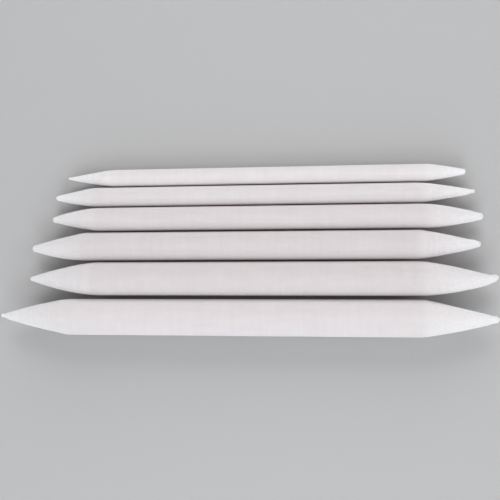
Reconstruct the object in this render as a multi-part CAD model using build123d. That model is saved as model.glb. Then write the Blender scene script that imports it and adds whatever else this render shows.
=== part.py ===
from build123d import *
import math
import os
from collections import namedtuple

# A graded set of six double-pointed paper blending stumps, lying side by side on a flat surface.
#
# A stump is one strip of soft paper rolled tight and ground to a point at both ends. Here it is
# four pieces, from the inside out: a hard twisted core that runs from tip to tip, the windings
# pressed round it, the last turn as an outer wrap, and the line of paste that closes its seam.
#
# Frame: +X along the stumps, +Y from the largest stump towards the smallest, +Z up. The origin
# is in the plane that the stumps rest on, at the centre of the row's bounding box. Millimetres.

# A ground point: how far it runs from tip to shoulder, how wide its blunt end is, and how far its
# profile bulges outside a straight cone, halfway along.
Point = namedtuple("Point", "length end_diameter bulge")

# A stump: its barrel, its core, its two points, how far its middle lies along X from the middle
# of the largest stump, the clear gap to the next larger stump, and the side that its seam is
# turned to, as an angle from straight down, positive towards +Y.
Stump = namedtuple("Stump", "number length diameter core left right offset gap seam_angle")

STUMPS = [
    Stump(1, 120.0, 5.3, 0.7, Point(14.5, 0.9, 0.16), Point(11.5, 1.7, 0.11), 6.0, 0.15, 52.0),
    Stump(2, 126.5, 6.0, 0.8, Point(12.6, 1.7, 0.10), Point(14.5, 1.2, 0.14), 5.3, 0.20, -38.0),
    Stump(3, 129.7, 7.3, 0.8, Point(14.4, 2.1, 0.21), Point(15.4, 2.0, 0.21), 6.0, 0.35, 34.0),
    Stump(4, 135.1, 8.7, 0.9, Point(16.8, 2.0, 0.28), Point(17.8, 1.8, 0.24), 2.5, 0.35, -27.0),
    Stump(5, 140.4, 10.3, 0.9, Point(20.2, 1.5, 0.38), Point(21.2, 2.1, 0.36), 4.6, 0.90, 41.0),
    Stump(6, 150.0, 11.1, 1.0, Point(21.6, 1.2, 0.30), Point(21.2, 2.0, 0.18), 0.0, 0.00, -58.0),
]

NIB_LENGTH = 0.4  # the core stands this far out of each ground point
NIB_ROUNDING = 0.25
END_ROUNDING = 0.3  # the rim of each blunt end
PAPER_THICKNESS = 0.35  # one turn of the sheet
SEAM_WIDTH = 0.25
PASTE_RECESS = 0.05  # the paste dries this far below the surface of the barrel


def rod_along_x(radius, length):
    """A round rod of the stump's own axis, centred on its middle."""
    return Rot(0, 90, 0) * Cylinder(radius, length)


def rounded_core(stump):
    """The twisted starter core, from tip to tip, with its two ends rounded off."""
    rod = rod_along_x(stump.core / 2, stump.length)
    return fillet(rod.edges().filter_by(GeomType.CIRCLE), NIB_ROUNDING)


def point_profile(point, radius, end_x, side):
    """The bulging line from a point's blunt end to its shoulder; side is -1 for left, 1 for right."""
    end_radius = point.end_diameter / 2
    run = point.length - NIB_LENGTH
    drop = radius - end_radius
    slant = math.hypot(run, drop)
    end = (side * end_x, end_radius)
    shoulder = (side * (end_x - run), radius)
    middle_x = end_x - run / 2 + point.bulge * drop / slant
    middle_radius = end_radius + drop / 2 + point.bulge * run / slant
    return ThreePointArc(end, (side * middle_x, middle_radius), shoulder)


def ground_roll(stump):
    """The whole roll of paper as it leaves the grinder: a round barrel with two points."""
    radius = stump.diameter / 2
    end_x = stump.length / 2 - NIB_LENGTH
    left = point_profile(stump.left, radius, end_x, -1)
    right = point_profile(stump.right, radius, end_x, 1)
    barrel = Line(left @ 1, right @ 1)
    right_end = Line(right @ 0, (end_x, 0))
    axis = Line((end_x, 0), (-end_x, 0))
    left_end = Line((-end_x, 0), left @ 0)
    half_section = make_face(Curve() + [left, barrel, right, right_end, axis, left_end])
    off_axis = half_section.vertices().filter_by(lambda vertex: vertex.Y > 0).sort_by(Axis.X)
    blunt_rims = [off_axis.first, off_axis.last]
    return revolve(fillet(blunt_rims, END_ROUNDING), Axis.X)


def seam_slot(stump):
    """The narrow radial slot, turned to the seam's side, between the edges of the outer wrap."""
    depth = stump.diameter
    slot = Pos(0, 0, -depth / 2) * Box(stump.length, SEAM_WIDTH, depth)
    return Rot(stump.seam_angle, 0, 0) * slot


def stump_pieces(stump):
    """The four pieces of one stump, on its own axis with its middle at the origin."""
    radius = stump.diameter / 2
    roll = ground_roll(stump)
    core_hole = rod_along_x(stump.core / 2, stump.length)
    under_wrap = rod_along_x(radius - PAPER_THICKNESS, stump.length)
    under_paste = rod_along_x(radius - PASTE_RECESS, stump.length)
    slot = seam_slot(stump)
    return {
        "core": rounded_core(stump),
        "windings": (roll & under_wrap) - core_hole,
        "outer_wrap": roll - under_wrap - slot,
        "paste_line": (roll & under_paste & slot) - under_wrap,
    }


def row_of_axes(stumps):
    """The Y of each stump's axis, with the row centred on Y = 0."""
    axes = []
    back_edge = 0.0
    for stump in stumps:
        axes.append(back_edge - stump.diameter / 2)
        back_edge -= stump.diameter + stump.gap
    return [axis - back_edge / 2 for axis in axes]


def middle_of_row(stumps):
    """The X that lies halfway between the row's leftmost and rightmost tips."""
    leftmost = min(stump.offset - stump.length / 2 for stump in stumps)
    rightmost = max(stump.offset + stump.length / 2 for stump in stumps)
    return (leftmost + rightmost) / 2


def build():
    """Write every piece of every stump, each stump resting on Z = 0."""
    os.makedirs("parts", exist_ok=True)
    middle = middle_of_row(STUMPS)
    for stump, axis_y in zip(STUMPS, row_of_axes(STUMPS)):
        place = Pos(stump.offset - middle, axis_y, stump.diameter / 2)
        for piece_name, piece in stump_pieces(stump).items():
            export_step(place * piece, f"parts/stump_{stump.number}_{piece_name}.step")


build()
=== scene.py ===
import itertools
import math
from collections import namedtuple

import bpy
import numpy as np
from mathutils import Matrix, Vector


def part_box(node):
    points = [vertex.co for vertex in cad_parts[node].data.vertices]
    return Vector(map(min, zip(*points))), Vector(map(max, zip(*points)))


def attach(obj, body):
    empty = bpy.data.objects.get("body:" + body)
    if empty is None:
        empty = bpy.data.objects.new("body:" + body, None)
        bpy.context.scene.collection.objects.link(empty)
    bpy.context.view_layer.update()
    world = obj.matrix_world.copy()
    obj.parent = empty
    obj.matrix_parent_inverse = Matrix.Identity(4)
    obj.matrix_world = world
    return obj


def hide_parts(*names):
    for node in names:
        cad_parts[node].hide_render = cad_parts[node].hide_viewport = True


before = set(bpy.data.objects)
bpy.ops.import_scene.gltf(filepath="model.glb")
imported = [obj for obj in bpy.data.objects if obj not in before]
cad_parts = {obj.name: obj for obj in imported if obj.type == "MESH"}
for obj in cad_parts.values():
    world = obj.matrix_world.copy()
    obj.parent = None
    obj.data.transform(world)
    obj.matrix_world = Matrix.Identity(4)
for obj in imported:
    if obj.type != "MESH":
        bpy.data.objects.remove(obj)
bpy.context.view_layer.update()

# Six paper blending stumps in a row. Lengths in this script are millimetres, as in the design,
# and each mesh is scaled to metres as it is made. X runs along the stumps, Y to the back of the
# row and Z up. An angle round a stump is counted from +Y, towards +Z.

METRES = 0.001
TINY = 1e-9  # keeps a division by a length of nothing from failing
SIDES = {"left": -1, "right": 1}

# How one point came off the grinder and what use has done to it, seen along its length. A pair
# gives the side of the point that faces the back of the row, then the side that faces the front.
#   end_radius   half the width of the blunt end
#   nose         how far back from the tip the end has its full width, as a pair
#   length       from the tip to the shoulder
#   bulge        how far the middle of the point stands outside a straight cone, as a pair
#   neck         how much thinner the point is just behind the nose
#   lean         how far the point lies off the barrel's axis, towards (back, up)
#   hook         how much further the very end bends, towards (back, up)
#   softness     how rounded the shoulder is, as a pair
Point = namedtuple("Point", "end_radius nose length bulge neck lean hook softness")

POINTS = {
    (1, "left"): Point(
        end_radius=0.38, nose=(0.4, 0.5), length=14.5, bulge=(0.09, 0.19),
        neck=0.04, lean=(0.02, 0.08), hook=(0.03, 0.05), softness=(0.3, 0.1)),
    (1, "right"): Point(
        end_radius=0.86, nose=(0.5, 0.5), length=11.6, bulge=(0.14, 0.12),
        neck=0.00, lean=(0.04, -0.06), hook=(0.00, 0.10), softness=(0.2, 0.2)),
    (2, "left"): Point(
        end_radius=0.90, nose=(1.0, 1.2), length=12.6, bulge=(0.16, 0.12),
        neck=0.00, lean=(-0.24, 0.05), hook=(0.06, 0.10), softness=(0.3, 0.2)),
    (2, "right"): Point(
        end_radius=0.64, nose=(0.5, 0.4), length=14.9, bulge=(0.10, 0.09),
        neck=0.13, lean=(-0.07, 0.10), hook=(0.12, -0.08), softness=(0.5, 0.1)),
    (3, "left"): Point(
        end_radius=1.04, nose=(1.0, 1.1), length=14.4, bulge=(0.33, 0.24),
        neck=0.00, lean=(0.05, -0.12), hook=(-0.15, 0.10), softness=(0.3, 0.2)),
    (3, "right"): Point(
        end_radius=1.12, nose=(1.3, 1.1), length=15.4, bulge=(0.27, 0.28),
        neck=0.04, lean=(-0.33, 0.10), hook=(-0.10, -0.10), softness=(0.7, 0.1)),
    (4, "left"): Point(
        end_radius=1.09, nose=(1.0, 1.0), length=16.8, bulge=(0.27, 0.50),
        neck=0.00, lean=(-0.52, 0.12), hook=(-0.04, 0.15), softness=(0.4, 0.1)),
    (4, "right"): Point(
        end_radius=0.86, nose=(0.8, 0.6), length=17.4, bulge=(0.34, 0.20),
        neck=0.05, lean=(-0.19, -0.10), hook=(0.14, 0.12), softness=(0.1, 0.3)),
    (5, "left"): Point(
        end_radius=0.84, nose=(1.0, 1.2), length=20.2, bulge=(0.42, 0.60),
        neck=0.00, lean=(-0.06, 0.15), hook=(0.02, -0.05), softness=(0.5, 0.5)),
    (5, "right"): Point(
        end_radius=1.16, nose=(1.4, 1.6), length=21.2, bulge=(0.36, 0.52),
        neck=0.05, lean=(-0.49, -0.12), hook=(0.62, 0.20), softness=(0.6, 0.1)),
    (6, "left"): Point(
        end_radius=0.61, nose=(0.4, 0.5), length=21.6, bulge=(0.36, 0.27),
        neck=0.16, lean=(0.08, -0.10), hook=(0.17, 0.10), softness=(0.4, 0.2)),
    (6, "right"): Point(
        end_radius=1.10, nose=(1.3, 1.4), length=21.2, bulge=(0.16, 0.20),
        neck=0.09, lean=(-0.36, 0.12), hook=(0.10, -0.12), softness=(0.2, 0.3)),
}

# A bump that the grinder left on a point: how far behind the tip, its angle, height and width.
BUMPS = {
    (3, "right"): (2.2, 2.6, 0.10, 0.8),
    (4, "right"): (1.9, 0.0, 0.26, 1.0),
    (5, "left"): (3.0, 3.6, 0.12, 0.9),
}

# Painted shade on each stump's paper, from the whitest of the set, at 0, to the darkest, at 1: the
# middle of the row is painted darker where neighbours shade it.
ROW_PAINTED_SHADE = {1: 0.0, 2: 0.47, 3: 0.82, 4: 1.0, 5: 1.0, 6: 0.42}

HOOK_REACH = 1.8  # the hook has mostly died away this far behind the tip
BEND_REACH = 4.0  # the section leaves the barrel's axis over this much of the tip
NECK_PLACE = 0.8  # the neck is thinnest this far behind the nose
NECK_REACH = 0.7
POINT_ZONE = 1.5  # a point can shape the roll this far from its tip, as a share of its length
SANDED_START = 0.6  # the sandpaper has marked the barrel this far past the shoulder
SANDED_END = 2.4  # and the paper is fully sanded this far before it
WHITE_LOSS = 0.75  # this share of its whitening fades between the tip and the shoulder
WHITE_START = 1.5  # and the rest from this far before the shoulder
WHITE_END = 2.0  # to this far past it
TURN_STEP = 0.10  # the last turn ends this much higher than it starts
FEATHER = 0.012  # thickness of the outer wrap's ground edge
SEAM_GAP = 0.10
GROOVE_DEPTH = 0.012  # the line where one turn of paper meets the next on a ground point
GROOVE_WIDTH = 0.14  # as a share of one turn's thickness
CLEARANCE = 0.02  # between pieces of one stump that fit inside each other
THINNEST_PAPER = 0.03  # left over the core where a point has been ground down to it


# ---------------------------------------------------------------- random relief


NOISE_SEED = 11
NOISE_CELLS = 64
NOISE_TABLE = np.random.default_rng(NOISE_SEED).uniform(-1.0, 1.0, (NOISE_CELLS,) * 3)


def lumps(places, size):
    """Smooth random relief from -1 to 1 at an array of places, in lumps of about the given size."""
    cells = places / np.array(size, float)
    low = np.floor(cells).astype(int)
    share = cells - low
    share = share * share * (3.0 - 2.0 * share)
    total = np.zeros(places.shape[:-1])
    for corner in itertools.product((0, 1), repeat=3):
        weight = np.prod(np.where(corner, share, 1.0 - share), axis=-1)
        index = (low + corner) % NOISE_CELLS
        total += weight * NOISE_TABLE[index[..., 0], index[..., 1], index[..., 2]]
    return total


def dents(places, depth, size):
    """Random depths between 0 and the given one, in lumps of about the given size."""
    return depth * (0.5 + 0.5 * lumps(places, size))


def smooth_step(value, start, end):
    """0 before start, 1 after end, and a smooth rise between."""
    share = np.clip((value - start) / (end - start), 0.0, 1.0)
    return share * share * (3.0 - 2.0 * share)


def smooth_min(first, second, softness):
    """The smaller of two values, with the corner where they cross rounded off."""
    near = np.maximum(softness - np.abs(first - second), 0.0) / softness
    return np.minimum(first, second) - near * near * softness / 4.0


# ---------------------------------------------------------------- the stumps, read from the frame


class Stump:
    """One stump's sizes, all in millimetres, taken from its CAD nodes."""

    def __init__(self, number):
        self.number = number
        self.body = f"stump_{number}"
        core_low, core_high = self.box("core")
        wrap_low, wrap_high = self.box("outer_wrap")
        paste_low, paste_high = self.box("paste_line")
        self.left_tip = core_low.x
        self.right_tip = core_high.x
        self.axis_y = (core_low.y + core_high.y) / 2
        self.axis_z = (core_low.z + core_high.z) / 2
        self.axis = [self.axis_y, self.axis_z]
        self.core = (core_high.z - core_low.z) / 2
        self.radius = (wrap_high.z - wrap_low.z) / 2
        self.paper = self.radius - self.inner_radius_of_wrap()
        self.under_wrap = self.radius - TURN_STEP - self.paper
        paste = (paste_low + paste_high) / 2
        self.seam = math.atan2(paste.z - self.axis_z, paste.y - self.axis_y)

    def box(self, piece):
        low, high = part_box(f"stump_{self.number}_{piece}")
        return low / METRES, high / METRES

    def inner_radius_of_wrap(self):
        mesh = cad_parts[f"stump_{self.number}_outer_wrap"].data
        corners = np.array([vertex.co for vertex in mesh.vertices]) / METRES
        return np.hypot(corners[:, 1] - self.axis_y, corners[:, 2] - self.axis_z).min()

    def tip(self, side):
        return self.left_tip if side == "left" else self.right_tip

    def point(self, side):
        return POINTS[self.number, side]

    def along(self, side, distance):
        """X of a place at this distance behind one tip."""
        return self.tip(side) - SIDES[side] * distance

    def behind(self, side, x):
        """The distance behind one tip of a place at this X."""
        return np.maximum((self.tip(side) - x) * SIDES[side], 0.0)

    def place(self, x, angle, radius):
        """Places along, round and out from the axis, as an array of X, Y, Z."""
        x, angle, radius = np.broadcast_arrays(x, angle, radius)
        y = self.axis_y + radius * np.cos(angle)
        z = self.axis_z + radius * np.sin(angle)
        return np.stack([x, y, z], axis=-1)

    def radius_at(self, places):
        """Distance of each place from the axis."""
        return np.hypot(places[..., 1] - self.axis_y, places[..., 2] - self.axis_z)

    def angles(self):
        """Evenly spaced angles once round the barrel."""
        count = int(2 * math.pi * self.radius / ROUND_SPACING)
        return np.linspace(0.0, 2 * math.pi, count, endpoint=False)


def barrel_radius(stump, angle):
    """The roll's outer radius. It is a spiral, so it steps down where the last turn ends."""
    turn = np.mod(angle - stump.seam, 2 * math.pi) / (2 * math.pi)
    return stump.radius - TURN_STEP * (1.0 - turn)


def back_to_front(pair, angle):
    """A value round a point, from its value on the back side to its value on the front side."""
    back, front = pair
    return (back + front) / 2 + (back - front) / 2 * np.cos(angle)


def point_radius(stump, side, distance, angle):
    """The radius of a ground point about its own axis, at this distance behind the tip."""
    point = stump.point(side)
    nose = back_to_front(point.nose, angle)
    share = np.maximum(distance - nose, 0.0) / (point.length - nose)
    cone = point.end_radius + (stump.radius - point.end_radius) * share
    arch = 4.0 * back_to_front(point.bulge, angle) * share * np.maximum(1.0 - share, 0.0)
    cone = cone + arch
    behind_nose = (distance - nose - NECK_PLACE) / NECK_REACH
    cone = cone - point.neck * np.exp(-behind_nose ** 2)
    if (stump.number, side) in BUMPS:
        cone = cone + bump_height(*BUMPS[stump.number, side], distance, angle, cone)
    inside_nose = np.clip(1.0 - distance / nose, 0.0, 1.0)
    return cone * np.sqrt(1.0 - inside_nose ** 2)


def bump_height(place, direction, height, width, distance, angle, radius):
    """The height of one round bump at these places on a point."""
    around = radius * np.sin((angle - direction) / 2) * 2
    return height * np.exp(-((distance - place) ** 2 + around ** 2) / width ** 2)


def point_offset(stump, side, distance):
    """How far a point's own axis lies off the barrel's, towards the back and up."""
    point = stump.point(side)
    share = np.clip(distance / point.length, 0.0, 1.0)
    bend = np.exp(-(distance / HOOK_REACH) ** 2)
    pairs = zip(point.lean, point.hook)
    return np.array([lean * (1.0 - share ** 2) + hook * bend for lean, hook in pairs])


def off_axis(stump, x):
    """How far the core lies off the barrel's axis, towards the back and up, at each X."""
    total = np.zeros(np.shape(x) + (2,))
    for side in SIDES:
        distance = stump.behind(side, x)
        on_point = distance < stump.point(side).length
        total += np.moveaxis(point_offset(stump, side, distance) * on_point, 0, -1)
    return total


def middle_of_roll(stump, x):
    """Y and Z of the middle of the roll's section: the barrel's axis, except near a tip."""
    middle = np.zeros(np.shape(x) + (2,)) + stump.axis
    for side in SIDES:
        distance = stump.behind(side, x)
        offset = point_offset(stump, side, distance)
        middle += np.moveaxis(offset * (1.0 - smooth_step(distance, 0.0, BEND_REACH)), 0, -1)
    return middle


def roll_surface(stump, x, angle):
    """The whole ground roll's outside: X, Y, Z for each place along and round it."""
    x, angle = np.broadcast_arrays(x, angle)
    limit = barrel_radius(stump, angle)
    radius = limit.copy()
    for side in SIDES:
        point = stump.point(side)
        distance = stump.behind(side, x)
        near = distance < point.length * POINT_ZONE
        back, up = point_offset(stump, side, distance)
        outward = back * np.cos(angle) + up * np.sin(angle)
        cone = point_radius(stump, side, distance, angle)
        cone = cone + outward * smooth_step(distance, 0.0, BEND_REACH)
        softness = back_to_front(point.softness, angle)
        radius = np.where(near, smooth_min(cone, limit, softness), radius)
    places = stump.place(x, angle, radius)
    places[..., 1:] += middle_of_roll(stump, x) - stump.axis
    return places


def pressed(stump, places, amount):
    """The places moved towards the middle of the roll by an amount at each of them."""
    middle = middle_of_roll(stump, places[..., 0])
    from_middle = places[..., 1:] - middle
    radius = np.maximum(np.linalg.norm(from_middle, axis=-1), TINY)
    share = np.maximum(radius - amount, 0.0) / radius
    moved = places.copy()
    moved[..., 1:] = middle + from_middle * share[..., None]
    return moved


def marks_of_use(stump, x):
    """How rough and how whitened sanding has left the paper at each X, both from 0 to 1."""
    sanded = np.zeros(np.shape(x))
    white = np.zeros(np.shape(x))
    for side in SIDES:
        length = stump.point(side).length
        distance = stump.behind(side, x)
        unmarked = smooth_step(distance, length - SANDED_END, length + SANDED_START)
        sanded = np.maximum(sanded, 1.0 - unmarked)
        kept = 1.0 - WHITE_LOSS * np.clip(distance / length, 0.0, 1.0)
        kept = kept * (1.0 - smooth_step(distance, length - WHITE_START, length + WHITE_END))
        white = np.maximum(white, kept)
    return sanded, white


# Dents in the paper: how deep, and the size of their lumps along X, Y and Z.
BARREL_DENTS = 0.035, (9.0, 3.5, 3.5)
SANDED_DENTS = (0.06, (3.0, 1.6, 1.6)), (0.03, (0.8, 0.45, 0.45)), (0.012, (0.35, 0.3, 0.3))
TURN_WANDER = 0.10  # how far the line between two turns strays, as a share of a turn's thickness
TURN_WANDER_SIZE = (4.0, 2.0, 2.0)


def relief(places, sanded):
    """How far the paper lies below its nominal surface: gently uneven, and rougher where sanded."""
    smooth = dents(places, *BARREL_DENTS)
    rough = sum(dents(places, *layer) for layer in SANDED_DENTS)
    return smooth * (1.0 - sanded) + rough * sanded


def turn_count(stump, places):
    """Vectors that give how many turns of paper lie under each place.

    Their length across X, plus their X, less the angle round the stump as a share of a circle, is
    a whole number wherever one turn ends on the next."""
    wander = TURN_WANDER * lumps(places, TURN_WANDER_SIZE)
    start = stump.seam / (2 * math.pi) - stump.core / stump.paper + wander
    across_y = (places[..., 1] - stump.axis_y) / stump.paper
    across_z = (places[..., 2] - stump.axis_z) / stump.paper
    return np.stack([start, across_y, across_z], axis=-1)


def turn_lines(count):
    """1 on the line where one turn of the sheet ends on the next, 0 away from it."""
    start, across_y, across_z = np.moveaxis(count, -1, 0)
    angle = np.arctan2(across_z, across_y) / (2 * math.pi)
    phase = np.mod(np.hypot(across_y, across_z) + start - angle, 1.0)
    nearest = np.minimum(phase, 1.0 - phase)
    return 1.0 - smooth_step(nearest, 0.0, GROOVE_WIDTH)


# ---------------------------------------------------------------- meshes


# How far apart the vertices lie along a point, its nose and a barrel, and round them.
CONE_SPACING = 0.13
NOSE_SPACING = 0.05
BARREL_SPACING = 0.80
ROUND_SPACING = 0.22


def store(mesh, name, values):
    """Keep a number or a vector for each vertex, for the material to read."""
    values = np.asarray(values, np.float32)
    is_vector = values.size == 3 * len(mesh.vertices)
    layer = mesh.attributes.new(name, "FLOAT_VECTOR" if is_vector else "FLOAT", "POINT")
    layer.data.foreach_set("vector" if is_vector else "value", values.ravel())


def grid_faces(rows, columns, close_rows=False, close_columns=True):
    """Quads between the rows and columns of a grid of vertices.

    They face outwards when the rows follow each other along an axis and the columns run
    anticlockwise about it."""
    row = np.arange(rows if close_rows else rows - 1)
    column = np.arange(columns if close_columns else columns - 1)
    row, column = np.meshgrid(row, column, indexing="ij")
    next_row = (row + 1) % rows
    next_column = (column + 1) % columns
    corners = [
        row * columns + column,
        row * columns + next_column,
        next_row * columns + next_column,
        next_row * columns + column,
    ]
    return np.stack(corners, axis=-1).reshape(-1, 4).tolist()


def end_caps(rows, columns):
    """Faces that close the first and the last row of a tube."""
    count = rows * columns
    return [list(range(columns - 1, -1, -1)), list(range(count - columns, count))]


def new_piece(name, places, faces, attributes, material):
    """A smooth-shaded mesh object from millimetre coordinates."""
    mesh = bpy.data.meshes.new(name)
    mesh.from_pydata((places.reshape(-1, 3) * METRES).tolist(), [], faces)
    for attribute, values in attributes.items():
        store(mesh, attribute, values)
    mesh.shade_smooth()
    mesh.materials.append(material)
    piece = bpy.data.objects.new(name, mesh)
    bpy.context.scene.collection.objects.link(piece)
    return piece


def steps(start, end, spacing):
    """Evenly spaced places from start to just before end."""
    return np.linspace(start, end, max(int(round(abs(end - start) / spacing)), 1), endpoint=False)


# ---------------------------------------------------------------- the pieces of one stump


EDGE_START = 0.6  # the wrap's edge is looked for from this share of the point's length
EDGE_END = 1.0  # to this far past the shoulder
EDGE_STEP = 0.05
RAGGED_EDGE = (0.12, (1.0, 0.5, 0.5)), (0.22, (1.0, 2.2, 2.2))  # how far it strays, in what lumps
EDGE_ZONE = 5.0  # the wrap's mesh is finer this far from each of its edges
SEAM_WANDER = 0.03  # how far the seam strays from a straight line
SEAM_WANDER_SIZE = (3.0, 1.0, 1.0)
SEAM_DIP = 0.05  # how far the sheet dips at the seam
SEAM_DIP_WIDTH = 0.35
BETWEEN_TURNS = (0.5, 0.0, 0.0)  # a turn count that shows no line


def ground_edge_of_wrap(stump, side, angle):
    """X of the ragged line near a shoulder where grinding has cut through the outer wrap."""
    point = stump.point(side)
    distance = np.arange(point.length * EDGE_START, point.length + EDGE_END, EDGE_STEP)[:, None]
    places = roll_surface(stump, stump.along(side, distance), angle[None, :])
    cut_through = barrel_radius(stump, angle)[None, :] - stump.paper
    edge = distance[np.argmax(stump.radius_at(places) > cut_through, axis=0), 0]
    round_shoulder = stump.place(stump.tip(side), angle, stump.radius)
    ragged = sum(height * lumps(round_shoulder, size) for height, size in RAGGED_EDGE)
    return stump.along(side, edge + ragged)


def make_outer_wrap(stump, material):
    """The last turn of the sheet: an open sleeve with a seam, feathered at both ends."""
    half_gap = SEAM_GAP / 2 / stump.radius
    angle = stump.seam + np.linspace(half_gap, 2 * math.pi - half_gap, len(stump.angles()))
    left = ground_edge_of_wrap(stump, "left", angle)
    right = ground_edge_of_wrap(stump, "right", angle)
    length = right.mean() - left.mean()
    share = np.concatenate([
        steps(0.0, EDGE_ZONE, CONE_SPACING),
        steps(EDGE_ZONE, length - EDGE_ZONE, BARREL_SPACING),
        steps(length - EDGE_ZONE, length, CONE_SPACING),
        [length],
    ]) / length
    x = left[None, :] + share[:, None] * (right - left)[None, :]
    seam = stump.place(x, stump.seam, stump.radius)
    angles = angle[None, :] + SEAM_WANDER / stump.radius * lumps(seam, SEAM_WANDER_SIZE)
    outer = roll_surface(stump, x, angles)
    sanded, white = marks_of_use(stump, x)
    from_seam = np.minimum(angles - angles[:, :1], angles[:, -1:] - angles) * stump.radius
    dip = SEAM_DIP * (1.0 - smooth_step(from_seam, 0.0, SEAM_DIP_WIDTH))
    outer = pressed(stump, outer, relief(outer, sanded) + dip)
    inner_radius = np.minimum(stump.radius_at(outer) - FEATHER, stump.under_wrap + CLEARANCE)
    inner = stump.place(x, angles, inner_radius)
    rows, columns = x.shape
    loop = np.concatenate([outer, inner[::-1]])
    faces = grid_faces(rows * 2, columns, close_rows=True, close_columns=False)
    for column, flip in ((0, False), (columns - 1, True)):
        faces += seam_end(rows, columns, column, flip)
    attributes = {
        "sanded": np.concatenate([sanded, sanded[::-1]]),
        "white": np.concatenate([white, white[::-1]]),
        "turns": np.broadcast_to(BETWEEN_TURNS, loop.shape),
        # shade: the stump's painted shade for its place in the row
        "shade": np.full(loop.shape[:-1], ROW_PAINTED_SHADE[stump.number]),
    }
    return new_piece(f"stump_{stump.number}_wrap_sheet", loop, faces, attributes, material)


def seam_end(rows, columns, column, flip):
    """The wrap's edge face along the seam: quads between its outer and inner surfaces."""
    row = np.arange(rows - 1)
    outer = row * columns + column
    inner = (2 * rows - 1 - row) * columns + column
    corners = [outer, outer + columns, inner - columns, inner]
    if flip:
        corners.reverse()
    return np.stack(corners, axis=-1).tolist()


CORE_SEARCH_STEP = 0.02
NOSE_MARGIN = 1.0  # the finest mesh goes on this far behind the nose
SHOULDER_MARGIN = 0.5  # and the fine mesh this far past the shoulder
HIDDEN_SPACING = 4.0  # under the wrap the rows are this far apart
HIDDEN_START = 1.0  # from this far past the fine mesh
BORE_ROWS = 40


def start_of_windings(stump, side):
    """How far behind the tip the turns round the core begin; before that the core is bare."""
    point = stump.point(side)
    distance = np.arange(point.length / 2, 0.0, -CORE_SEARCH_STEP)
    thinnest = point_radius(stump, side, distance[:, None], np.array([0.0, math.pi])).min(axis=1)
    covered = thinnest > stump.core + THINNEST_PAPER
    return distance[np.argmin(covered)] if not covered.all() else distance[-1]


def make_windings(stump, material):
    """The turns under the wrap, with both ground points and the hole that the core fills."""
    rows_x = {}
    for side in SIDES:
        point = stump.point(side)
        start = start_of_windings(stump, side)
        fine_end = max(point.nose) + NOSE_MARGIN
        distance = np.concatenate([
            steps(start, fine_end, NOSE_SPACING),
            steps(fine_end, point.length + SHOULDER_MARGIN, CONE_SPACING),
        ])
        rows_x[side] = stump.along(side, distance)
    left, right = rows_x["left"], rows_x["right"][::-1]
    hidden = steps(left[-1] + HIDDEN_START, right[0], HIDDEN_SPACING)
    outer_x = np.concatenate([left, hidden, right])
    x, angles = np.meshgrid(outer_x, stump.angles(), indexing="ij")
    outer = roll_surface(stump, x, angles)
    sanded, white = marks_of_use(stump, x)
    count = turn_count(stump, outer)
    lowered = relief(outer, sanded) + GROOVE_DEPTH * turn_lines(count) + FEATHER
    core_middle = off_axis(stump, x) + stump.axis
    above_bore = np.linalg.norm(outer[..., 1:] - core_middle, axis=-1) - stump.core - THINNEST_PAPER
    outer = pressed(stump, outer, np.clip(lowered, 0.0, np.maximum(above_bore, 0.0)))
    outer = pressed(stump, outer, np.maximum(stump.radius_at(outer) - stump.under_wrap, 0.0))
    bore_x = np.linspace(outer_x[-1], outer_x[0], BORE_ROWS)
    bore_x, bore_angles = np.meshgrid(bore_x, stump.angles(), indexing="ij")
    bore = stump.place(bore_x, bore_angles, stump.core + CLEARANCE / 2)
    bore[..., 1:] += off_axis(stump, bore_x)
    loop = np.concatenate([outer, bore])
    faces = grid_faces(len(loop), loop.shape[1], close_rows=True)
    bore_marks = np.ones(bore_x.shape)
    attributes = {
        "sanded": np.concatenate([sanded, bore_marks]),
        "white": np.concatenate([white, bore_marks]),
        "turns": np.concatenate([count, turn_count(stump, bore)]),
        # shade: the stump's painted shade for its place in the row
        "shade": np.full(loop.shape[:-1], ROW_PAINTED_SHADE[stump.number]),
    }
    return new_piece(f"stump_{stump.number}_wound_paper", loop, faces, attributes, material)


TWIST_PITCH = 1.6
TWIST_STRANDS = 3
TWIST_DEPTH = 0.05  # as a share of the core's radius
CORE_COLUMNS = 36
NIB_END = 3.5  # the core's mesh is fine this far behind the tip
NIB_SPACING = 0.08
NIB_GAP = 0.05  # between the last row of the rounded end and the next
DOME_ROWS = 14
DOME_START = 0.10  # the angle of the first row, in radians from the very end
MASHED = 0.04  # use has squashed it by up to twice this share of its radius
MASHED_SIZE = (0.4, 0.3, 0.3)


def make_core(stump, material):
    """The twisted core. Its ends are ground with the points and mashed a little by use."""
    rows_x = {}
    for side in SIDES:
        nose = max(stump.point(side).nose)
        dome = nose * (1.0 - np.cos(np.linspace(DOME_START, math.pi / 2, DOME_ROWS)))
        nib = steps(nose + NIB_GAP, NIB_END, NIB_SPACING)
        rows_x[side] = stump.along(side, np.concatenate([dome, nib]))
    x = np.concatenate([rows_x["left"], rows_x["right"][::-1]])
    angle = np.linspace(0.0, 2 * math.pi, CORE_COLUMNS, endpoint=False)
    grid_x, angles = np.meshgrid(x, angle, indexing="ij")
    radius = np.full(grid_x.shape, stump.core)
    for side in SIDES:
        ground = point_radius(stump, side, stump.behind(side, grid_x), angles)
        radius = np.minimum(radius, ground)
    twist = 0.5 + 0.5 * np.cos(TWIST_STRANDS * angles + 2 * math.pi * grid_x / TWIST_PITCH)
    places = stump.place(grid_x, angles, radius * (1.0 - TWIST_DEPTH * twist))
    mashed = MASHED * lumps(places, MASHED_SIZE) - MASHED
    places = stump.place(grid_x, angles, radius * (1.0 - TWIST_DEPTH * twist + mashed))
    places[..., 1:] += off_axis(stump, grid_x)
    faces = grid_faces(len(x), len(angle)) + end_caps(len(x), len(angle))
    # each vertex carries the stump's painted shade for its place in the row
    attributes = {"shade": np.full(grid_x.shape, ROW_PAINTED_SHADE[stump.number])}
    return new_piece(f"stump_{stump.number}_core_nibs", places, faces, attributes, material)


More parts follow.
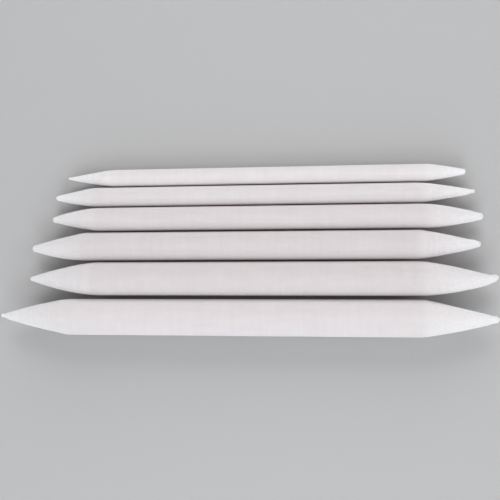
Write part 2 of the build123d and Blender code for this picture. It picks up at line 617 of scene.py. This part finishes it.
PASTE_START = 0.4  # the paste begins this far past the shoulder
PASTE_SPACING = 0.5
PASTE_COLUMNS = np.array([-1.0, -0.4, 0.4, 1.0])  # across the seam, as shares of its half width
PASTE_SIDE_GAP = 0.005
PASTE_SUNK = 0.03  # its top lies at least this far below the sheet under the wrap's edge
PASTE_DENTS = 0.04, (1.6, 1.0, 1.0)


def make_paste(stump, material):
    """The bead of dried paste in the seam, a little uneven along its length."""
    ends = [stump.along(side, stump.point(side).length + PASTE_START) for side in SIDES]
    x = steps(*ends, PASTE_SPACING)
    across = PASTE_COLUMNS * (SEAM_GAP / 2 - PASTE_SIDE_GAP)
    grid_x, angles = np.meshgrid(x, stump.seam + across / stump.radius, indexing="ij")
    sunk = PASTE_SUNK + dents(stump.place(grid_x, stump.seam, stump.radius), *PASTE_DENTS)
    top = stump.place(grid_x, angles, stump.radius - TURN_STEP - sunk)
    low = stump.place(grid_x, angles, stump.under_wrap - CLEARANCE)[:, ::-1]
    loop = np.concatenate([top, low], axis=1)
    rows, columns = loop.shape[:2]
    faces = grid_faces(rows, columns) + end_caps(rows, columns)
    return new_piece(f"stump_{stump.number}_seam_paste", loop, faces, {}, material)


FIBRES_PER_MILLIMETRE = 26
FIBRE_JOINTS = 5
FIBRE_SIDES = 3
FIBRE_CROWDING = 1.3  # above 1, more of them lie near the tip than near the shoulder
FIBRE_START = 0.15  # the nearest to the tip that one is rooted
FIBRE_TIP_GAP = 0.06  # the nearest to it that one reaches
FIBRE_LENGTH = (0.25, 0.95)
FIBRE_HEADING = 1.2  # the most that one is turned from the way to the tip, in radians
FIBRE_CURL = 0.8  # the most that its heading changes along its length
FIBRE_LIFT = (0.02, 0.20)  # how high its end stands, as a share of its length
FIBRE_ROOT = 0.05  # how deep its root lies
FIBRE_LEAST_RADIUS = 0.25  # keeps the fibres at the tip from winding round it
FIBRE_RADIUS = (0.008, 0.014)
FIBRE_TAPER = 0.65  # the share of its thickness that is lost at its end
FIBRE_SEED = 100


def fibre_lines(stump, side, rng):
    """Middle lines of the loose fibres on one point, each rooted just under the surface."""
    point = stump.point(side)
    count = int(FIBRES_PER_MILLIMETRE * point.length)
    share = np.linspace(0.0, 1.0, FIBRE_JOINTS)[None, :]
    start = point.length * rng.random((count, 1)) ** FIBRE_CROWDING + FIBRE_START
    angle = rng.uniform(0.0, 2 * math.pi, (count, 1))
    length = rng.uniform(*FIBRE_LENGTH, (count, 1))
    heading = rng.uniform(-FIBRE_HEADING, FIBRE_HEADING, (count, 1))
    heading = heading + rng.uniform(-FIBRE_CURL, FIBRE_CURL, (count, 1)) * share
    lift = rng.uniform(*FIBRE_LIFT, (count, 1)) * length
    distance = np.maximum(start - length * share * np.cos(heading), FIBRE_TIP_GAP)
    radius = np.maximum(point_radius(stump, side, distance, angle), FIBRE_LEAST_RADIUS)
    swing = angle + length * share * np.sin(heading) / radius
    surface = roll_surface(stump, stump.along(side, distance), swing)
    height = lift * share * (2.0 - share) - FIBRE_ROOT
    return pressed(stump, surface, -height)


def make_fuzz(stump, material):
    """Loose paper fibres that sanding has raised on the points, each a thin tapered tube."""
    rng = np.random.default_rng(FIBRE_SEED + stump.number)
    lines = np.concatenate([fibre_lines(stump, side, rng) for side in SIDES])
    count = len(lines)
    heading = np.gradient(lines, axis=1)
    heading /= np.linalg.norm(heading, axis=-1, keepdims=True) + TINY
    outward = lines - np.array([0.0, stump.axis_y, stump.axis_z])
    outward[..., 0] = 0.0
    across = np.cross(heading, outward)
    across /= np.linalg.norm(across, axis=-1, keepdims=True) + TINY
    upward = np.cross(heading, across)
    taper = 1.0 - FIBRE_TAPER * np.linspace(0.0, 1.0, FIBRE_JOINTS)
    radius = rng.uniform(*FIBRE_RADIUS, (count, 1)) * taper
    turns = np.arange(FIBRE_SIDES) * 2 * math.pi / FIBRE_SIDES
    ring = across[:, :, None] * np.cos(turns)[:, None] + upward[:, :, None] * np.sin(turns)[:, None]
    places = lines[:, :, None] + ring * radius[:, :, None, None]
    tube = grid_faces(FIBRE_JOINTS, FIBRE_SIDES) + end_caps(FIBRE_JOINTS, FIBRE_SIDES)
    tube_size = FIBRE_JOINTS * FIBRE_SIDES
    first_corners = range(0, count * tube_size, tube_size)
    faces = [[first + corner for corner in face] for first in first_corners for face in tube]
    # each vertex carries the stump's painted shade for its place in the row
    attributes = {"shade": np.full(places.shape[:-1], ROW_PAINTED_SHADE[stump.number])}
    return new_piece(f"stump_{stump.number}_raised_fibres", places, faces, attributes, material)


# ---------------------------------------------------------------- materials


GRAIN_ROUGHNESS = 0.55
STRAND_WIDTH = 0.035  # how far the noise may lie from its middle value on a strand


def add_node(tree, kind, values=None, **properties):
    """A shader node with its properties and unlinked input values set."""
    node = tree.nodes.new(kind)
    for name, value in properties.items():
        setattr(node, name, value)
    for socket, value in (values or {}).items():
        node.inputs[socket].default_value = value
    return node


class Surface:
    """Builds one procedural material, step by step, in millimetre coordinates."""

    def __init__(self, name):
        self.material = bpy.data.materials.new(name)
        self.material.use_nodes = True
        self.tree = self.material.node_tree
        self.shader = self.tree.nodes["Principled BSDF"]
        place = add_node(self.tree, "ShaderNodeTexCoord")
        scale = (1 / METRES,) * 3
        scaled = add_node(self.tree, "ShaderNodeVectorMath", {1: scale}, operation="MULTIPLY")
        self.tree.links.new(place.outputs["Object"], scaled.inputs[0])
        self.millimetres = scaled.outputs[0]

    def feed(self, socket, value):
        """Set an input to a value, or link it to another node's output."""
        if isinstance(value, bpy.types.NodeSocket):
            self.tree.links.new(value, socket)
        else:
            socket.default_value = value

    def set_input(self, name, value):
        """Feed one of the shader's own inputs."""
        self.feed(self.shader.inputs[name], value)

    def attribute(self, name, output="Fac"):
        return add_node(self.tree, "ShaderNodeAttribute", attribute_name=name).outputs[output]

    def parts_of(self, vector):
        """The X, Y and Z of a vector."""
        node = add_node(self.tree, "ShaderNodeSeparateXYZ")
        self.feed(node.inputs[0], vector)
        return node.outputs

    def math(self, operation, first, second=0.0, third=0.0):
        node = add_node(self.tree, "ShaderNodeMath", operation=operation)
        for socket, value in zip(node.inputs, (first, second, third)):
            self.feed(socket, value)
        return node.outputs[0]

    def total(self, *terms):
        """The sum of several (value, weight) pairs."""
        result = 0.0
        for value, weight in terms:
            result = self.math("MULTIPLY_ADD", value, weight, result)
        return result

    def ramp(self, value, start, end, low=0.0, high=1.0):
        """A value between start and end, spread smoothly from low to high."""
        node = add_node(self.tree, "ShaderNodeMapRange", interpolation_type="SMOOTHSTEP")
        inputs = ("Value", "From Min", "From Max", "To Min", "To Max")
        for socket, number in zip(inputs, (value, start, end, low, high)):
            self.feed(node.inputs[socket], number)
        return node.outputs["Result"]

    def mix(self, share, first, second, blend="MIX"):
        """A colour between two colours, or between one and its product with the other."""
        node = add_node(self.tree, "ShaderNodeMix", data_type="RGBA", blend_type=blend)
        self.feed(node.inputs["Factor"], share)
        colours = [socket for socket in node.inputs if socket.type == "RGBA"]
        for socket, value in zip(colours, (first, second)):
            self.feed(socket, value)
        return next(output for output in node.outputs if output.type == "RGBA")

    def grain(self, size, turn=(0.0, 0.0, 0.0), detail=2.0):
        """Noise from 0 to 1, in grains of the given X, Y, Z size, turned by some angles."""
        rotation = {"Rotation": turn}
        turned = add_node(self.tree, "ShaderNodeVectorRotate", rotation, rotation_type="EULER_XYZ")
        scale = tuple(1.0 / length for length in size)
        sized = add_node(self.tree, "ShaderNodeVectorMath", {1: scale}, operation="MULTIPLY")
        settings = {"Scale": 1.0, "Detail": detail, "Roughness": GRAIN_ROUGHNESS}
        noise = add_node(self.tree, "ShaderNodeTexNoise", settings)
        self.feed(turned.inputs["Vector"], self.millimetres)
        self.feed(sized.inputs[0], turned.outputs["Vector"])
        self.feed(noise.inputs["Vector"], sized.outputs[0])
        return noise.outputs["Fac"]

    def strands(self, length, width, turns):
        """Thin crossing fibres: 1 on a fibre and 0 beside it."""
        result = 0.0
        for turn in turns:
            noise = self.grain((length, width, width), turn, detail=1.0)
            off_middle = self.math("ABSOLUTE", self.math("SUBTRACT", noise, 0.5))
            strand = self.ramp(off_middle, 0.0, STRAND_WIDTH, 1.0, 0.0)
            result = self.math("MAXIMUM", result, strand)
        return result

    def paint(self, colour, strength):
        """Use this colour, darkened by a share of the painted shade given to the stump's paper."""
        shade = self.math("MULTIPLY", self.attribute("shade"), strength)
        self.set_input("Base Color", self.mix(shade, colour, PAINTED_SHADE_TINT, blend="MULTIPLY"))

    def bump(self, height, depth):
        """Make the surface rise with a height from 0 to 1, by a depth in millimetres."""
        values = {"Strength": 1.0, "Distance": depth * METRES}
        node = add_node(self.tree, "ShaderNodeBump", values)
        self.feed(node.inputs["Height"], height)
        self.set_input("Normal", node.outputs["Normal"])


SMOOTH_PAPER = (0.757, 0.716, 0.724, 1.0)
SMOOTH_PAPER_SHADE = (0.710, 0.669, 0.677, 1.0)
SANDED_PAPER = (0.922, 0.920, 0.932, 1.0)
SANDED_PAPER_SHADE = (0.785, 0.778, 0.792, 1.0)
WHITEST_PAPER = (0.930, 0.930, 0.935, 1.0)
PAINTED_SHADE_TINT = (0.885, 0.870, 0.875, 1.0)  # painted shade: multiplies the colours of the darkest stump
SANDED_PAINTED_SHADE_SHARE = 0.5  # sanded paper shows this share of that painted shade
TURN_EDGE = (0.600, 0.565, 0.570, 1.0)
SPECK = (0.400, 0.350, 0.320, 1.0)
PASTE = (0.64, 0.58, 0.52, 1.0)
PASTE_SHADE = (0.52, 0.46, 0.41, 1.0)
SOFT_NOISE = (0.3, 0.7)  # the range of a noise that is spread over a whole ramp
CRISP_NOISE = (0.35, 0.65)
FIBRE_TURNS = ((0.3, 0.5, 0.6), (0.9, -0.4, -0.7), (-0.6, 0.2, 1.5), (1.3, 0.8, -0.2))
TURN_LINE_WIDTH = 0.07  # as a share of one turn's thickness
SPECK_CELLS = 0.28  # for each millimetre; at most one speck lies in a cell
SPECK_RADIUS = (0.035, 0.065)  # where it starts to fade and where it has, as shares of a cell
SPECK_CHANCE = 0.28  # the share of the cells that have one
SPECK_STRENGTH = 0.5  # the most that a speck covers the paper


def turn_edges(paper):
    """1 on the fine line where one turn of a ground point ends on the next."""
    start, across_y, across_z = paper.parts_of(paper.attribute("turns", "Vector"))
    square_z = paper.math("MULTIPLY", across_z, across_z)
    squares = paper.math("MULTIPLY_ADD", across_y, across_y, square_z)
    angle = paper.math("DIVIDE", paper.math("ARCTAN2", across_z, across_y), 2 * math.pi)
    turns = paper.math("SUBTRACT", paper.math("ADD", paper.math("SQRT", squares), start), angle)
    from_edge = paper.math("PINGPONG", turns, 0.5)
    return paper.ramp(from_edge, 0.0, TURN_LINE_WIDTH, 1.0, 0.0)


def specks(paper):
    """How strongly a fleck shows: a few small darker ones, as pulp has."""
    settings = {"Scale": SPECK_CELLS, "Randomness": 1.0}
    cells = add_node(paper.tree, "ShaderNodeTexVoronoi", settings)
    paper.feed(cells.inputs["Vector"], paper.millimetres)
    inside = paper.ramp(cells.outputs["Distance"], *SPECK_RADIUS, 1.0, 0.0)
    split = add_node(paper.tree, "ShaderNodeSeparateColor")
    paper.feed(split.inputs["Color"], cells.outputs["Color"])
    chosen = paper.math("GREATER_THAN", split.outputs["Red"], 1.0 - SPECK_CHANCE)
    strength = paper.math("MULTIPLY", split.outputs["Green"], SPECK_STRENGTH)
    return paper.math("MULTIPLY", paper.math("MULTIPLY", inside, chosen), strength)


def paper_material():
    """Soft white paper: smooth and faintly pink on a barrel, whiter and fuzzy where sanded."""
    paper = Surface("rolled_paper")
    sanded = paper.attribute("sanded")
    white = paper.attribute("white")
    cloudy = paper.grain((7.0, 3.0, 3.0), detail=4.0)
    rolled = paper.grain((0.35, 9.0, 9.0))
    banded = paper.grain((1.3, 12.0, 12.0), detail=1.0)
    streaks = paper.grain((4.0, 0.28, 0.28), (0.0, 0.12, 0.22), detail=3.0)
    mottled = paper.grain((0.6, 0.4, 0.4), detail=3.0)
    grit = paper.grain((0.13, 0.13, 0.13), detail=3.0)
    fibres = paper.strands(1.5, 0.22, FIBRE_TURNS)
    edges = paper.math("MULTIPLY", turn_edges(paper), sanded)

    shade = paper.total(
        (paper.ramp(cloudy, *SOFT_NOISE), 0.45),
        (paper.ramp(rolled, *SOFT_NOISE), 0.2),
        (paper.ramp(banded, *SOFT_NOISE), 0.3),
    )
    smooth = paper.mix(shade, SMOOTH_PAPER, SMOOTH_PAPER_SHADE)
    shade = paper.total(
        (paper.ramp(streaks, *CRISP_NOISE), 0.45),
        (paper.ramp(mottled, *CRISP_NOISE), 0.4),
    )
    rough = paper.mix(shade, SANDED_PAPER, SANDED_PAPER_SHADE)
    colour = paper.mix(white, smooth, rough)
    colour = paper.mix(paper.math("MULTIPLY", fibres, 0.15), colour, WHITEST_PAPER)
    colour = paper.mix(paper.math("MULTIPLY", edges, 0.14), colour, TURN_EDGE)
    colour = paper.mix(specks(paper), colour, SPECK)
    # painted shade for the stump's place in the row: in full on the barrel, half on sanded paper
    paper.paint(colour, paper.math("MULTIPLY_ADD", white, SANDED_PAINTED_SHADE_SHARE - 1.0, 1.0))

    paper.set_input("Roughness", paper.ramp(fibres, 0.0, 1.0, 0.93, 0.80))
    paper.set_input("Specular IOR Level", 0.3)
    paper.set_input("Sheen Weight", 0.10)
    paper.set_input("Sheen Roughness", 0.6)

    height_smooth = paper.total((rolled, 0.3), (banded, 0.2), (grit, 0.25))
    height_rough = paper.total((streaks, 0.5), (mottled, 0.7), (grit, 0.7), (edges, -0.25))
    kept = paper.math("SUBTRACT", 1.0, sanded)
    height = paper.total((fibres, 0.35), (height_smooth, kept), (height_rough, sanded))
    paper.bump(height, 0.04)
    return paper.material


def core_material():
    """Hard twisted paper, with the twist showing as fine slanting lines."""
    paper = Surface("twisted_core_paper")
    grit = paper.grain((0.12, 0.12, 0.12), detail=3.0)
    twist = paper.grain((1.2, 0.16, 0.16), (0.0, 0.5, 0.7))
    colour = paper.mix(paper.ramp(twist, *CRISP_NOISE, 0.0, 0.6), WHITEST_PAPER, SANDED_PAPER_SHADE)
    # half the stump's painted shade for its place in the row
    paper.paint(colour, SANDED_PAINTED_SHADE_SHARE)
    paper.set_input("Roughness", paper.ramp(grit, *SOFT_NOISE, 0.8, 0.95))
    paper.bump(paper.total((twist, 0.5), (grit, 0.5)), 0.05)
    return paper.material


def paste_material():
    """Dried starch paste, a little yellower and shinier than the paper."""
    paste = Surface("dried_paste")
    blobs = paste.ramp(paste.grain((1.4, 0.5, 0.5), detail=3.0), *SOFT_NOISE)
    paste.set_input("Base Color", paste.mix(blobs, PASTE, PASTE_SHADE))
    paste.set_input("Roughness", paste.ramp(blobs, 0.0, 1.0, 0.40, 0.65))
    paste.bump(blobs, 0.03)
    return paste.material


def fibre_material():
    """Single paper fibres, slightly uneven in tone."""
    paper = Surface("raised_fibres")
    tone = paper.grain((0.8, 0.8, 0.8), detail=1.0)
    colour = paper.mix(paper.ramp(tone, *SOFT_NOISE), WHITEST_PAPER, SANDED_PAPER)
    # half the stump's painted shade for its place in the row
    paper.paint(colour, SANDED_PAINTED_SHADE_SHARE)
    paper.set_input("Roughness", paper.ramp(tone, *SOFT_NOISE, 0.75, 0.9))
    return paper.material


# ---------------------------------------------------------------- stage, lights and camera


FLOOR_COLOUR = (0.45, 0.45, 0.455, 1.0)
FAR_FLOOR_COLOUR = (0.97, 0.96, 0.965, 1.0)  # as bright as the sky where only the sky lights it
FLOOR_FADE = (700.0, 2000.0)  # from the first to the second, in millimetres from the middle
FLOOR_ROUGHNESS = 0.9
FLOOR_SIZE = 60.0  # metres
SKY_COLOUR = (1.0, 0.985, 0.99, 1.0)
SKY_STRENGTH = 0.335

# Where each soft light stands, its width in metres, its power in watts and its colour.
LIGHTS = {
    "front_soft_box": ((0.03, -0.60, 0.30), 0.45, 2.66, (0.845, 0.94, 0.995)),
    "high_soft_box": ((0.03, -0.36, 0.58), 0.45, 1.24, (1.00, 0.96, 0.93)),
    "back_soft_box": ((0.03, 0.60, 0.34), 0.45, 3.08, (0.965, 0.985, 0.995)),
    "right_soft_box": ((1.24, 0.00, 0.68), 0.80, 4.4, (1.00, 0.96, 0.92)),
    "left_soft_box": ((-1.24, 0.00, 0.68), 0.80, 1.2, (0.98, 0.99, 1.00)),
}


def make_floor():
    """A plain pale floor, wide enough to reach the horizon of a low camera."""
    half = FLOOR_SIZE / 2
    mesh = bpy.data.meshes.new("floor")
    corners = [(-half, -half, 0), (half, -half, 0), (half, half, 0), (-half, half, 0)]
    mesh.from_pydata(corners, [], [(0, 1, 2, 3)])
    floor = bpy.data.objects.new("floor", mesh)
    bpy.context.scene.collection.objects.link(floor)
    surface = Surface("plain_floor")
    measure = add_node(surface.tree, "ShaderNodeVectorMath", operation="LENGTH")
    surface.feed(measure.inputs[0], surface.millimetres)
    away = surface.ramp(measure.outputs["Value"], *FLOOR_FADE)
    surface.set_input("Base Color", surface.mix(away, FLOOR_COLOUR, FAR_FLOOR_COLOUR))
    surface.set_input("Roughness", FLOOR_ROUGHNESS)
    mesh.materials.append(surface.material)


def make_light(name, place, size, power, colour):
    """A soft square light that faces the middle of the row."""
    light = bpy.data.lights.new(name, "AREA")
    light.shape = "SQUARE"
    light.size = size
    light.energy = power
    light.color = colour
    lamp = bpy.data.objects.new(name, light)
    lamp.location = place
    lamp.rotation_euler = (-Vector(place)).to_track_quat("-Z", "Y").to_euler()
    bpy.context.scene.collection.objects.link(lamp)


def light_the_stage():
    """Soft boxes in front of, above, behind and beside the row, under a pale even sky."""
    world = bpy.data.worlds.new("studio")
    world.use_nodes = True
    sky = world.node_tree.nodes["Background"]
    sky.inputs["Color"].default_value = SKY_COLOUR
    sky.inputs["Strength"].default_value = SKY_STRENGTH
    bpy.context.scene.world = world
    bpy.context.scene.view_settings.view_transform = "Standard"
    for name, settings in LIGHTS.items():
        make_light(name, *settings)


LENS = 60.0
CLIP_START = 0.01  # metres
CAMERA_LEAN = math.radians(8.03)  # the camera leans over to the right of the row
CAMERA_ROLL = math.radians(-0.35)
CAMERA_DISTANCE = 248.5
CAMERA_AIM = Vector((3.0, 0.32, 5.0))


def make_camera():
    """Looks down on the row from just right of straight above it, with the back of the row up."""
    data = bpy.data.cameras.new("camera")
    data.lens = LENS
    data.clip_start = CLIP_START
    camera = bpy.data.objects.new("camera", data)
    turn = Matrix.Rotation(CAMERA_LEAN, 4, "Y") @ Matrix.Rotation(CAMERA_ROLL, 4, "Z")
    retreat = Matrix.Translation((0.0, 0.0, CAMERA_DISTANCE * METRES))
    camera.matrix_world = Matrix.Translation(CAMERA_AIM * METRES) @ turn @ retreat
    bpy.context.scene.collection.objects.link(camera)
    bpy.context.scene.camera = camera


# ---------------------------------------------------------------- put together


def dress(stump, rolled, twisted, paste, fibre):
    """Make one stump's visible pieces, each in place of the CAD piece that it stands for."""
    number = stump.number
    pieces = [
        (make_outer_wrap(stump, rolled), f"stump_{number}_outer_wrap", "wrap_paper"),
        (make_windings(stump, rolled), f"stump_{number}_windings", "ground_paper"),
        (make_core(stump, twisted), f"stump_{number}_core", "core_paper"),
        (make_paste(stump, paste), f"stump_{number}_paste_line", "dried_paste"),
        (make_fuzz(stump, fibre), None, "ground_paper"),
    ]
    for piece, node, slot in pieces:
        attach(piece, stump.body)
        if node:
            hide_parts(node)


make_floor()
light_the_stage()
make_camera()
materials = paper_material(), core_material(), paste_material(), fibre_material()
for number in ROW_PAINTED_SHADE:
    dress(Stump(number), *materials)
